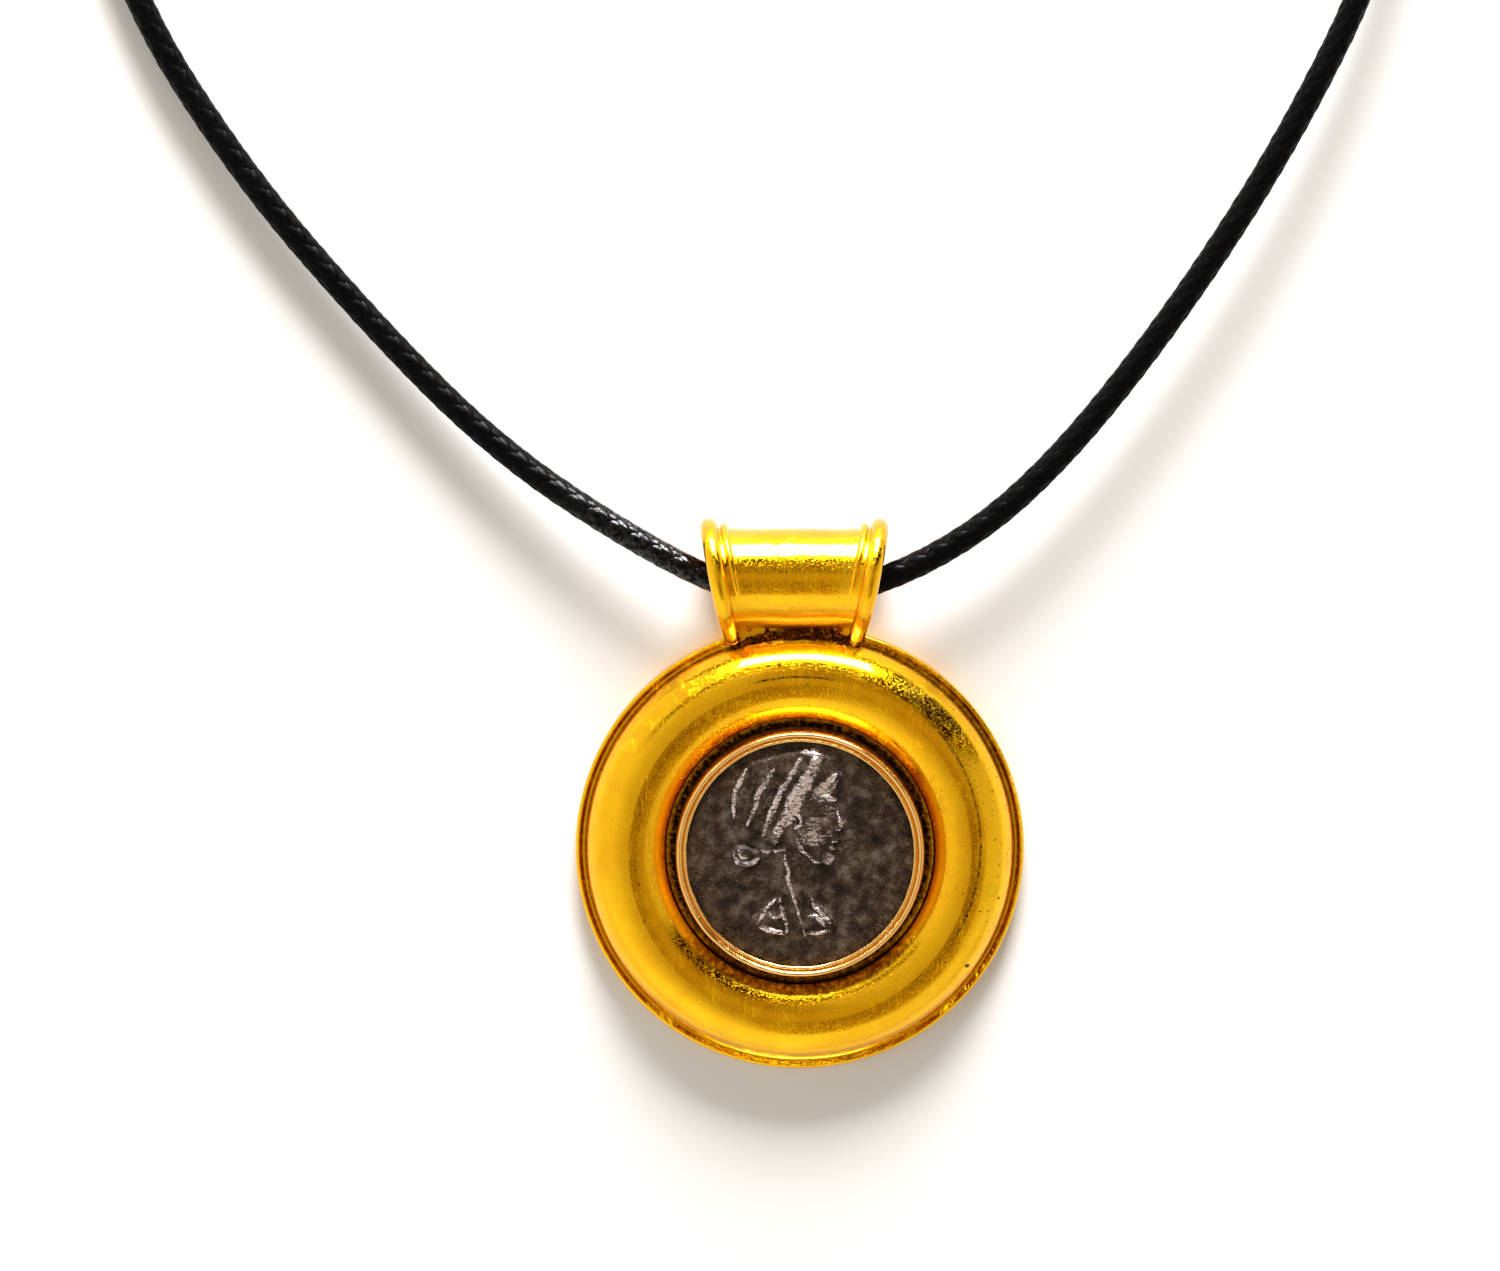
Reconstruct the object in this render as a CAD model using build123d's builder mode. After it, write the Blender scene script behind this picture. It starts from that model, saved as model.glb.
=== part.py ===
from build123d import *
import math
import os

# Round medallion pendant on a closed cord, lying face up, in millimetres.
# The origin is the middle of the flat back, +Z points out of the face and +Y towards the bail.

# Coin
coin_radius = 9.5
coin_thickness = 1.9
coin_edge_bevel = 0.15

# Collar that holds the coin
coin_clearance = 0.1
bezel_wall = 0.6
outer_lip_width = 0.52
inner_lip_width = 0.34
inner_lip_thickness = 0.28
inner_lip_drop = 0.15
lip_groove_width = 0.08
lip_groove_depth = 0.1
lip_above_coin = 0.15

# Round frame
moat_width = 0.75
dome_width = 6.6
dome_crest_inset = 3.55
dome_crest_height = 4.3
dome_foot_height = 1.75
dome_inner_height = 2.85
dome_inner_round = 0.5
rim_width = 0.85
rim_thickness = 1.6
rim_round = 0.3
rim_bevel_width = 0.28
rim_groove_depth = 0.3
back_round = 0.25
coin_seat_height = 2.2
bezel_seat_height = 1.2
moat_floor_height = 1.75
seat_clearance = 0.05

# Bail: a spool-shaped tube across the top of the frame, with leaning ends
bail_offset_x = -0.5
bail_tube_radius = 3.77
bail_mouth_radius = 4.15
bail_wall = 0.5
bail_half_length = 6.15
bail_end_lean = 11.1
bail_to_rim_gap = 0.83
collar_ring_radius = 3.95
collar_wire_radius = 0.72
bail_lift = 0.05
ridge_wire_radius = 0.32
ridge_inset = 1.3
ridge_lean_share = 1.15
ridge_lift = 0.24
bore_overrun = 1.1

# Lower front of the bail: wires and sheet run down to the frame, with solder behind the sheet's foot
collar_foot_inset = 0.8
collar_foot_height = 2.0
collar_drop_radius = 0.8
ridge_foot_inset = 0.35
ridge_foot_height = 1.9
ridge_drop_radius = 0.4
wire_turn = 300
skirt_half_width = 4.9
skirt_foot_inset = 0.2
skirt_foot_height = 1.95
solder_root_inset = 1.7
solder_root_height = 1.9
solder_base_height = 0.5

# Head on the coin, from chin to crown, and its raised levels
head_height = 9.4
head_x = -0.8
head_y = -1.0
bust_relief = 0.18
face_relief = 0.3
hair_relief = 0.38
bun_relief = 0.46
lock_relief = 0.5
lock_width = 0.62
strand_width = 0.34

# Cord
cord_diameter = 2.2

# Clasp at the back of the neck
clasp_length = 11.0
clasp_radius = 1.75
clasp_end_round = 0.4
clasp_waist_depth = 0.25
clasp_waist_width = 0.6
clasp_waist_inset = 1.6
clasp_lift = 0.05

# Centre line of the cord: from the clasp, down one leg, through the bail and back up to the clasp
cord_route = [
    (-10.0, 148.6, 1.8),
    (-17.6, 148.6, 1.8),
    (-31.2, 146.4, 1.2),
    (-45.2, 138.4, 1.12),
    (-55.0, 125.4, 1.12),
    (-59.8, 108.6, 1.12),
    (-59.7, 89.8, 1.12),
    (-54.5, 70.1, 1.12),
    (-45.3, 55.3, 1.12),
    (-34.8, 43.0, 1.12),
    (-24.5, 32.8, 1.7),
    (-13.2, 25.5, 3.9),
    (-4.6, 21.25, 4.1),
    (3.9, 21.2, 4.0),
    (13.5, 25.6, 4.1),
    (21.5, 32.8, 3.9),
    (30.7, 44.7, 3.3),
    (39.5, 58.4, 2.4),
    (46.8, 73.4, 1.7),
    (50.9, 91.4, 1.12),
    (50.5, 109.8, 1.12),
    (45.5, 126.4, 1.12),
    (35.8, 139.0, 1.12),
    (22.2, 146.6, 1.2),
    (8.6, 148.6, 1.8),
    (1.0, 148.6, 1.8),
]
arc_share = 0.45

# Outlines of the head, as shares of head_height: forward of the ear line, above the chin
face_outline = [
    (0.30, 0.92),
    (0.375, 0.84),
    (0.415, 0.72),
    (0.424, 0.60),
    (0.397, 0.52),
    (0.452, 0.42),
    (0.500, 0.335),
    (0.428, 0.286),
    (0.440, 0.225),
    (0.408, 0.190),
    (0.428, 0.150),
    (0.385, 0.105),
    (0.396, 0.050),
    (0.330, 0.000),
    (0.210, 0.030),
    (0.120, 0.100),
    (-0.05, 0.22),
    (-0.12, 0.50),
    (0.02, 0.80),
]
bust_outline = [
    (0.15, 0.10),
    (0.12, -0.08),
    (0.16, -0.27),
    (0.31, -0.43),
    (0.42, -0.53),
    (0.24, -0.615),
    (0.00, -0.640),
    (-0.22, -0.615),
    (-0.39, -0.50),
    (-0.25, -0.36),
    (-0.13, -0.16),
    (-0.14, 0.06),
    (-0.10, 0.20),
]
hair_outline = [
    (0.34, 0.89),
    (0.21, 0.985),
    (0.02, 1.000),
    (-0.20, 0.965),
    (-0.41, 0.84),
    (-0.53, 0.62),
    (-0.52, 0.38),
    (-0.42, 0.17),
    (-0.22, 0.08),
    (-0.05, 0.20),
    (0.06, 0.33),
    (0.13, 0.50),
    (0.24, 0.62),
    (0.37, 0.74),
]
# Combed locks: start, middle and end of each arc, and its width
hair_locks = [
    ((-0.38, 0.84), (-0.47, 0.65), (-0.49, 0.43), strand_width),
    ((-0.15, 0.89), (-0.31, 0.64), (-0.37, 0.35), strand_width),
    ((0.05, 0.94), (-0.16, 0.64), (-0.25, 0.28), strand_width),
    ((0.22, 0.93), (0.01, 0.62), (-0.12, 0.25), lock_width),
    ((0.34, 0.80), (0.25, 0.74), (0.15, 0.60), lock_width),
]
bun_centre = (-0.40, 0.10)
bun_size = (0.15, 0.105)
bun_turn = -28
ear_centre = (0.035, 0.40)
ear_size = (0.042, 0.075)
eye_centre = (0.315, 0.50)
eye_size = (0.042, 0.020)
# Folds of the cloth: start, middle and end of each arc, and its width
drapery_folds = [
    ((-0.06, -0.34), (-0.17, -0.44), (-0.24, -0.56), strand_width),
    ((0.02, -0.34), (0.01, -0.46), (0.03, -0.58), strand_width),
    ((0.12, -0.36), (0.17, -0.47), (0.25, -0.54), strand_width),
]

# Sizes that follow from the ones above
bezel_inner_radius = coin_radius + coin_clearance
bezel_radius = bezel_inner_radius + bezel_wall
well_radius = bezel_radius + moat_width
dome_radius = well_radius + dome_width
disc_radius = dome_radius + rim_width
crest_radius = dome_radius - dome_crest_inset
coin_base = coin_seat_height + seat_clearance
coin_top = coin_base + coin_thickness
bezel_base = bezel_seat_height + seat_clearance
lip_underside = coin_top + lip_above_coin
inner_lip_base = lip_underside + inner_lip_thickness
bezel_top = inner_lip_base + inner_lip_width / 2 + inner_lip_drop
bail_y = disc_radius + bail_to_rim_gap + bail_tube_radius
bail_z = collar_ring_radius + collar_wire_radius + bail_lift
clasp_centre_x = (cord_route[0][0] + cord_route[-1][0]) / 2
clasp_centre_y = cord_route[0][1]
clasp_centre_z = clasp_radius + clasp_lift

# Stations along the bail: share of its half length, share of the end lean, outer radius
bail_stations = [
    (-1.0, 1.0, bail_mouth_radius),
    (-0.62, 0.75, bail_tube_radius),
    (0.0, 0.0, bail_tube_radius),
    (0.62, 0.75, bail_tube_radius),
    (1.0, 1.0, bail_mouth_radius),
]


def bail_plane(length_share, lean_share, inset=0.0):
    """Plane across the bail, leaning with its nearer end, so that the bail narrows towards the frame."""
    side = 1 if length_share > 0 else -1
    lean = math.radians(bail_end_lean * lean_share)
    normal = Vector(math.cos(lean), -side * math.sin(lean), 0)
    along = Vector(side * math.sin(lean), math.cos(lean), 0)
    centre = Vector(bail_offset_x + length_share * bail_half_length, bail_y, bail_z)
    return Plane(origin=centre - normal * side * inset, x_dir=along, z_dir=normal)


def touching_line(ring_radius, reach, drop):
    """Where a line from the foot at -reach, -drop touches the ring around the origin."""
    span = math.hypot(reach, drop)
    rise = math.atan2(drop, reach) + math.asin(ring_radius / span)
    length = math.sqrt(span**2 - ring_radius**2)
    return (-reach + length * math.cos(rise), -drop + length * math.sin(rise))


def wire_path(side, lean_share, inset, ring_radius, foot_y, foot_height):
    """Line of a wire from its foot on the frame up the front of the bail, over its top and back under it."""
    plane = bail_plane(side, lean_share, inset)
    reach = (bail_y - foot_y) / math.cos(math.radians(bail_end_lean * lean_share))
    drop = bail_z - foot_height
    touch = touching_line(ring_radius, reach, drop)
    touch_angle = math.degrees(math.atan2(touch[1], touch[0]))
    with BuildLine(plane) as wire_line:
        Line((-reach, -drop), touch)
        CenterArc((0, 0), ring_radius, touch_angle, -wire_turn)
    return wire_line.wires()[0]


def on_head(share):
    """Place on the coin of a point given as shares of the head's height."""
    return (head_x + share[0] * head_height, head_y + share[1] * head_height)


def cord_radii(route):
    """Bend radius at each corner of the cord's route."""
    radii = []
    for before, corner, after in zip(route, route[1:], route[2:]):
        run_in = Vector(*corner) - Vector(*before)
        run_out = Vector(*after) - Vector(*corner)
        half_turn = math.radians(run_in.get_angle(run_out) / 2)
        radii.append(arc_share * min(run_in.length, run_out.length) / math.tan(half_turn))
    return radii


# Round frame with the bail soldered to it
with BuildPart() as medallion_frame:
    with BuildSketch(Plane.XZ):
        with BuildLine():
            seat_radius = bezel_radius + seat_clearance
            channel_radius = bezel_inner_radius - seat_clearance
            groove_height = rim_thickness - rim_groove_depth
            groove_end = dome_radius + rim_width - rim_round - rim_bevel_width
            back = Line((0, 0), (disc_radius - back_round, 0))
            back_edge = TangentArc(back @ 1, (disc_radius, back_round), tangent=(1, 0))
            rim_side = Line(back_edge @ 1, (disc_radius, rim_thickness - rim_round))
            rim_edge = TangentArc(rim_side @ 1, (disc_radius - rim_round, rim_thickness), tangent=(0, 1))
            groove = Polyline(
                rim_edge @ 1,
                (groove_end, groove_height),
                (dome_radius, groove_height),
                (dome_radius, dome_foot_height),
            )
            crest = (crest_radius, dome_crest_height)
            inner_edge = (well_radius, dome_inner_height)
            outer_slope = TangentArc(crest, groove @ 1, tangent=(1, 0))
            inner_slope = TangentArc(crest, inner_edge, tangent=(-1, 0))
            well = Polyline(
                inner_edge,
                (well_radius, moat_floor_height),
                (seat_radius, moat_floor_height),
                (seat_radius, bezel_seat_height),
                (channel_radius, bezel_seat_height),
                (channel_radius, coin_seat_height),
                (0, coin_seat_height),
                (0, 0),
            )
        make_face()
    revolve(axis=Axis.Z)
    circles = medallion_frame.edges().filter_by(GeomType.CIRCLE)
    inner_rim = circles.sort_by(lambda circle: abs(circle.arc_center.Z - dome_inner_height))[0]
    fillet(inner_rim, dome_inner_round)

    # Tube of the bail, the sheet and solder under it, and the bore through them
    for length_share, lean_share, radius in bail_stations:
        with BuildSketch(bail_plane(length_share, lean_share)):
            Circle(radius)
    loft()
    skirt_foot_y = disc_radius - skirt_foot_inset
    skirt_drop = bail_z - skirt_foot_height
    skirt_top = touching_line(bail_tube_radius, bail_y - skirt_foot_y, skirt_drop)
    inside = 1 - bail_wall / bail_tube_radius
    with BuildSketch(Plane.YZ.offset(bail_offset_x)):
        Polygon(
            (disc_radius - solder_root_inset, solder_base_height),
            (disc_radius, solder_base_height),
            (bail_y, bail_z - bail_tube_radius + bail_wall),
            (bail_y + inside * skirt_top[0], bail_z + inside * skirt_top[1]),
            (bail_y + skirt_top[0], bail_z + skirt_top[1]),
            (skirt_foot_y, skirt_foot_height),
            (disc_radius - solder_root_inset, solder_root_height),
            align=None,
        )
    extrude(amount=skirt_half_width, both=True)
    for length_share, lean_share, radius in bail_stations:
        with BuildSketch(bail_plane(length_share * bore_overrun, lean_share)):
            Circle(radius - bail_wall)
    loft(mode=Mode.SUBTRACT)

    # Wire collars and ridges at both ends of the bail, with a drop of solder at each foot
    ridge_ring_radius = bail_tube_radius + ridge_lift - ridge_wire_radius
    ridge_foot_y = disc_radius - ridge_foot_inset
    collar_foot_y = disc_radius - collar_foot_inset
    for side in (-1, 1):
        ridge = wire_path(
            side, ridge_lean_share, ridge_inset, ridge_ring_radius, ridge_foot_y, ridge_foot_height
        )
        collar = wire_path(side, 1, 0, collar_ring_radius, collar_foot_y, collar_foot_height)
        for wire, wire_radius, drop_radius in (
            (ridge, ridge_wire_radius, ridge_drop_radius),
            (collar, collar_wire_radius, collar_drop_radius),
        ):
            with BuildSketch(Plane(origin=wire @ 0, z_dir=wire % 0)):
                Circle(wire_radius)
            sweep(path=wire)
            with Locations(wire @ 0):
                Sphere(drop_radius)
medallion_frame.part.label = "medallion_frame"

# Collar around the coin, with a rounded outer lip, a fine groove and a lower inner lip over the coin
with BuildPart() as coin_bezel:
    with BuildSketch(Plane.XZ):
        with BuildLine():
            outer_lip_base = bezel_top - outer_lip_width / 2
            groove_outer = bezel_radius - outer_lip_width
            groove_inner = groove_outer - lip_groove_width
            lip_inner = groove_inner - inner_lip_width
            groove_floor = inner_lip_base - lip_groove_depth
            wall = Polyline(
                (lip_inner, inner_lip_base),
                (lip_inner, lip_underside),
                (bezel_inner_radius, lip_underside),
                (bezel_inner_radius, bezel_base),
                (bezel_radius, bezel_base),
                (bezel_radius, outer_lip_base),
            )
            outer_lip = TangentArc(wall @ 1, (groove_outer, outer_lip_base), tangent=(0, 1))
            lip_groove = Polyline(
                outer_lip @ 1,
                (groove_outer, groove_floor),
                (groove_inner, groove_floor),
                (groove_inner, inner_lip_base),
            )
            TangentArc(lip_groove @ 1, wall @ 0, tangent=(0, 1))
        make_face()
    revolve(axis=Axis.Z)
coin_bezel.part.label = "coin_bezel"

# Coin with a draped bust in low relief
with BuildPart() as coin:
    with BuildSketch(Plane.XY.offset(coin_base)):
        Circle(coin_radius)
    extrude(amount=coin_thickness)
    chamfer(coin.edges().filter_by(GeomType.CIRCLE), coin_edge_bevel)
    for outline, relief in (
        (bust_outline, bust_relief),
        (face_outline, face_relief),
        (hair_outline, hair_relief),
    ):
        with BuildSketch(Plane.XY.offset(coin_top - coin_edge_bevel)):
            with BuildLine():
                Spline(*[on_head(share) for share in outline], periodic=True)
            make_face()
        extrude(amount=coin_edge_bevel + relief)
    for centre, size, turn, relief in (
        (bun_centre, bun_size, bun_turn, bun_relief),
        (ear_centre, ear_size, 0, lock_relief),
        (eye_centre, eye_size, 0, hair_relief),
    ):
        with BuildSketch(Plane.XY.offset(coin_top - coin_edge_bevel)):
            with Locations(Location(on_head(centre), turn)):
                Ellipse(size[0] * head_height, size[1] * head_height)
        extrude(amount=coin_edge_bevel + relief)
    for strokes, relief in ((hair_locks, lock_relief), (drapery_folds, face_relief)):
        for start, middle, end, width in strokes:
            with BuildSketch(Plane.XY.offset(coin_top - coin_edge_bevel)):
                with BuildLine():
                    stroke = ThreePointArc(on_head(start), on_head(middle), on_head(end))
                SlotArc(arc=stroke, height=width)
            extrude(amount=coin_edge_bevel + relief)
coin.part.label = "coin"

# Cord: one tube round the whole loop
radii = cord_radii(cord_route)
with BuildPart() as neck_cord:
    with BuildLine() as cord_line:
        FilletPolyline(*cord_route, radius=radii)
    cord_path = cord_line.wires()[0]
    with BuildSketch(Plane(origin=cord_path @ 0, z_dir=cord_path % 0)):
        Circle(cord_diameter / 2)
    sweep(path=cord_path)
neck_cord.part.label = "neck_cord"

# Barrel clasp between the cord's two ends
with BuildPart() as clasp:
    half_length = clasp_length / 2
    waist_start = half_length - clasp_waist_inset
    waist_end = waist_start - clasp_waist_width
    waist_radius = clasp_radius - clasp_waist_depth
    clasp_centre = Vector(clasp_centre_x, clasp_centre_y, clasp_centre_z)
    with BuildSketch(Plane(origin=clasp_centre, x_dir=(1, 0, 0), z_dir=(0, -1, 0))):
        with BuildLine():
            end_face = Line((half_length, 0), (half_length, clasp_radius - clasp_end_round))
            end_corner = (half_length - clasp_end_round, clasp_radius)
            end_arc = TangentArc(end_face @ 1, end_corner, tangent=(0, 1))
            barrel = Polyline(
                end_arc @ 1,
                (waist_start, clasp_radius),
                (waist_start, waist_radius),
                (waist_end, waist_radius),
                (waist_end, clasp_radius),
                (0, clasp_radius),
                (0, 0),
                (half_length, 0),
            )
        make_face()
        mirror(about=Plane.YZ)
    revolve(axis=Axis(clasp_centre, (1, 0, 0)))
clasp.part.label = "clasp"

section_area = math.pi * cord_diameter**2 / 4
print("cord length", round(cord_path.length, 2))
print("cord bend radii", [round(radius, 1) for radius in radii])
print("cord volume", round(neck_cord.part.volume, 2))
print("cord section x length", round(section_area * cord_path.length, 2))

os.makedirs("parts", exist_ok=True)
for sub_part in (medallion_frame, coin_bezel, coin, neck_cord, clasp):
    export_step(sub_part.part, f"parts/{sub_part.part.label}.step")
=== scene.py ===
import math

import bpy
import numpy as np
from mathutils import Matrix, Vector


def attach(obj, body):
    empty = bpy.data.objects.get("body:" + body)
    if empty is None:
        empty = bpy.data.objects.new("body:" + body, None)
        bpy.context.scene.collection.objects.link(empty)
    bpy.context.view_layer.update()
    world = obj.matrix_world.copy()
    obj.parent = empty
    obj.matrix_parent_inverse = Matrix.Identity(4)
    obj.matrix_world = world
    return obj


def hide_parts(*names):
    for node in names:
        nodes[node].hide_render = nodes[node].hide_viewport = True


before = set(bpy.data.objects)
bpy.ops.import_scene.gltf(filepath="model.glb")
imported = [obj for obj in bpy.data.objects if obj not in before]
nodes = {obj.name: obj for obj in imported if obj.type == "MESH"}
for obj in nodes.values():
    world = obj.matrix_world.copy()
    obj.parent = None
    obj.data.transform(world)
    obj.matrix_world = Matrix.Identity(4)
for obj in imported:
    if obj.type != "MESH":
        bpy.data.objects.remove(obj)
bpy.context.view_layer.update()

# Tables and named sizes are in millimetres and degrees, and MM turns millimetres into the scene's metres
MM = 0.001
DEGREES = 180 / math.pi
scene = bpy.context.scene

# Camera, in metres
CAMERA_PLACE = (-0.0040825, 0.0800657, 0.4758935)
CAMERA_TILT = -7.5
CAMERA_LENS = 140.65
SENSOR_WIDTH = 36.0
CAMERA_NEAR = 0.01

# The bail's middle, and how much the solder's edge bends away from it
BAIL_X = -0.5
ARCH_BEND = 0.024


# helpers

def new_object(name, data):
    obj = bpy.data.objects.new(name, data)
    scene.collection.objects.link(obj)
    return obj


def mesh_object(name, verts, faces):
    """Smooth-shaded mesh object from millimetre points."""
    mesh = bpy.data.meshes.new(name)
    mesh.from_pydata((np.asarray(verts) * MM).tolist(), [], faces)
    mesh.update()
    mesh.polygons.foreach_set("use_smooth", [True] * len(mesh.polygons))
    return new_object(name, mesh)


def grid_faces(rows, columns, wrap=False, start=0, flip=False):
    """Quads of a grid of points stored row by row."""
    faces = []
    for r in range(rows - 1):
        for c in range(columns if wrap else columns - 1):
            n = (c + 1) % columns
            quad = (start + r * columns + c, start + r * columns + n,
                    start + (r + 1) * columns + n, start + (r + 1) * columns + c)
            faces.append(quad[::-1] if flip else quad)
    return faces


def smooth_curve(points, closed, steps=10):
    """Points along a Catmull-Rom curve through the given points."""
    pts = np.array(points, float)
    n = len(pts)
    spans = n if closed else n - 1
    t = np.linspace(0, 1, steps, endpoint=False)[:, None]
    out = []
    for i in range(spans):
        if closed:
            a, b, c, d = (pts[(i + k) % n] for k in (-1, 0, 1, 2))
        else:
            b, c = pts[i], pts[i + 1]
            a = pts[i - 1] if i else 2 * b - c
            d = pts[i + 2] if i + 2 < n else 2 * c - b
        out.append(0.5 * (2 * b + (c - a) * t + (2 * a - 5 * b + 4 * c - d) * t**2
                          + (3 * b - a - 3 * c + d) * t**3))
    if not closed:
        out.append(pts[-1:])
    return np.concatenate(out)


class Graph:
    """Short way to write a node tree."""

    def __init__(self, tree):
        self.tree = tree
        tree.nodes.clear()

    def add(self, kind, inputs=None, **props):
        node = self.tree.nodes.new(kind)
        for key, value in props.items():
            setattr(node, key, value)
        for key, value in (inputs or {}).items():
            self.feed(node, key, value)
        return node

    def feed(self, node, key, value):
        socket = node.inputs[key]
        if isinstance(value, bpy.types.NodeSocket):
            self.tree.links.new(value, socket)
        elif isinstance(value, bpy.types.Node):
            self.tree.links.new(value.outputs[0], socket)
        elif isinstance(value, tuple) and len(value) == 3 and socket.type == "RGBA":
            socket.default_value = (*value, 1.0)
        else:
            socket.default_value = value

    def math(self, op, a, b=0.0):
        return self.add("ShaderNodeMath", {0: a, 1: b}, operation=op).outputs[0]

    def chain(self, op, values):
        """One operation over any number of values."""
        result = values[0]
        for value in values[1:]:
            result = self.math(op, result, value)
        return result

    def plus(self, *values):
        return self.chain("ADD", values)

    def minus(self, a, b):
        return self.math("SUBTRACT", a, b)

    def times(self, *values):
        return self.chain("MULTIPLY", values)

    def most(self, *values):
        return self.chain("MAXIMUM", values)

    def absolute(self, value):
        return self.math("ABSOLUTE", value)

    def angle(self, a, b):
        """Angle whose tangent is a over b, in degrees."""
        return self.times(self.math("ARCTAN2", a, b), DEGREES)

    def radius(self, x, y):
        return self.math("SQRT", self.plus(self.times(x, x), self.times(y, y)))

    def linear(self, value, low, high, to_low=0.0, to_high=1.0):
        """Even change from to_low to to_high while the value goes from low to high."""
        inputs = {"Value": value, "From Min": low, "From Max": high, "To Min": to_low, "To Max": to_high}
        return self.add("ShaderNodeMapRange", inputs).outputs[0]

    def steps(self, value, low, high, to_low=0.0, to_high=1.0):
        """Smooth change from to_low to to_high while the value goes from low to high."""
        inputs = {"Value": value, "From Min": low, "From Max": high, "To Min": to_low, "To Max": to_high}
        return self.add("ShaderNodeMapRange", inputs, interpolation_type="SMOOTHSTEP").outputs[0]

    def band(self, value, rise, fall, top=1.0):
        """Rises from 0 to 1 over the first span and falls from top to 0 over the second."""
        return self.times(self.steps(value, *rise), self.steps(value, *fall, top, 0.0))

    def ramp(self, value, stops):
        """Colour ramp; a stop is (position, grey or colour)."""
        node = self.add("ShaderNodeValToRGB", {0: value})
        ramp = node.color_ramp
        while len(ramp.elements) < len(stops):
            ramp.elements.new(0.5)
        for element, (place, colour) in zip(ramp.elements, stops):
            element.position = place
            element.color = (*(colour if isinstance(colour, tuple) else (colour,) * 3), 1.0)
        return node.outputs[0]

    def mix(self, factor, a, b):
        """Colour that goes from a to b as the factor goes from 0 to 1."""
        node = self.add("ShaderNodeMix", data_type="RGBA", blend_type="MIX")
        for key, value in ((0, factor), (6, a), (7, b)):
            self.feed(node, key, value)
        return node.outputs[2]

    def vector(self, op, a, b):
        return self.add("ShaderNodeVectorMath", {0: a, 1: b}, operation=op).outputs[0]

    def combine(self, x, y, z=0.0):
        return self.add("ShaderNodeCombineXYZ", {0: x, 1: y, 2: z}).outputs[0]

    def separate(self, vector):
        return self.add("ShaderNodeSeparateXYZ", {0: vector}).outputs

    def noise(self, vector, scale, detail=3.0, roughness=0.5):
        inputs = {"Vector": vector, "Scale": scale, "Detail": detail, "Roughness": roughness}
        return self.add("ShaderNodeTexNoise", inputs).outputs[0]

    def point_value(self, name):
        """Value that the mesh holds at each point."""
        return self.add("ShaderNodeAttribute", attribute_name=name).outputs["Fac"]

    def millimetres(self):
        """Place on the object, in millimetres."""
        coords = self.add("ShaderNodeTexCoord").outputs["Object"]
        return self.vector("MULTIPLY", coords, (1000.0, 1000.0, 1000.0))

    def bump(self, height, distance, normal=None):
        """Bump of a height from 0 to 1; the distance is in millimetres."""
        inputs = {"Height": height, "Distance": distance * MM, "Strength": 1.0}
        if normal is not None:
            inputs["Normal"] = normal
        return self.add("ShaderNodeBump", inputs).outputs[0]

    def surface(self, sockets, **fixed):
        """The shader with its linked sockets, and the uniform values set on its own ones."""
        shader = self.add("ShaderNodeBsdfPrincipled", sockets)
        for name, value in fixed.items():
            shader.inputs[name.replace("_", " ")].default_value = value
        self.add("ShaderNodeOutputMaterial", {"Surface": shader})


def new_material(name):
    material = bpy.data.materials.new(name)
    material.use_nodes = True
    return material, Graph(material.node_tree)


def dress(obj, material):
    obj.data.materials.clear()
    obj.data.materials.append(material)


# camera

camera_data = bpy.data.cameras.new("camera")
camera_data.lens = CAMERA_LENS
camera_data.sensor_width = SENSOR_WIDTH
camera_data.clip_start = CAMERA_NEAR
camera = new_object("camera", camera_data)
camera.location = CAMERA_PLACE
camera.rotation_euler = (math.radians(CAMERA_TILT), 0.0, 0.0)
scene.camera = camera

# cord

# The same route as the solid's, seen from the camera, but raised where the photo's shadows stand clear of it
CORD_ROUTE = [
    (-10, 148.6, 1.8), (-17.6, 148.6, 1.8), (-31.2, 146.4, 1.2), (-45.2, 138.4, 1.12),
    (-55, 125.41, 1.12), (-59.7, 108.63, 1.2), (-59.7, 89.82, 1.3), (-54.4, 70.08, 1.4),
    (-45.2, 55.32, 1.55), (-34.7, 43.06, 1.8), (-24.51, 32.85, 2.4), (-13.2, 25.46, 3.8),
    (-4.6, 21.25, 4.1), (3.9, 21.2, 4), (13.49, 25.61, 4.3), (21.48, 32.81, 4.3),
    (30.68, 44.73, 4.3), (39.37, 58.44, 4.2), (46.6, 73.42, 3.85), (50.74, 91.38, 3.1),
    (50.27, 109.77, 2.2), (45.45, 126.39, 1.4), (35.8, 138.98, 1.3), (22.2, 146.6, 1.2),
    (8.6, 148.6, 1.8), (1, 148.6, 1.8),
]
CORD_DIAMETER = 2.2
CORE_RADIUS = 0.9
STRANDS = 6            # strands that run each way round
CELL_LENGTH = 1.97     # one wave of a strand, along the cord
STRAND_STEP = 0.2
STRAND_WAVE = 0.04     # how far a strand rises over and dips under the others
TIGHT_STEP = 1.1       # between two places where a strand's tightness changes
TIGHT_DEPTH = 0.012
CORE_SIDES = 18
CORE_STEP = 5          # strand steps between two rings of the core
# Section of a strand: place across it and drop below its middle
STRAND_SECTION = [(-1.0, -0.075), (-0.66, -0.022), (0.0, 0.0), (0.66, -0.022), (1.0, -0.075)]


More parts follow.
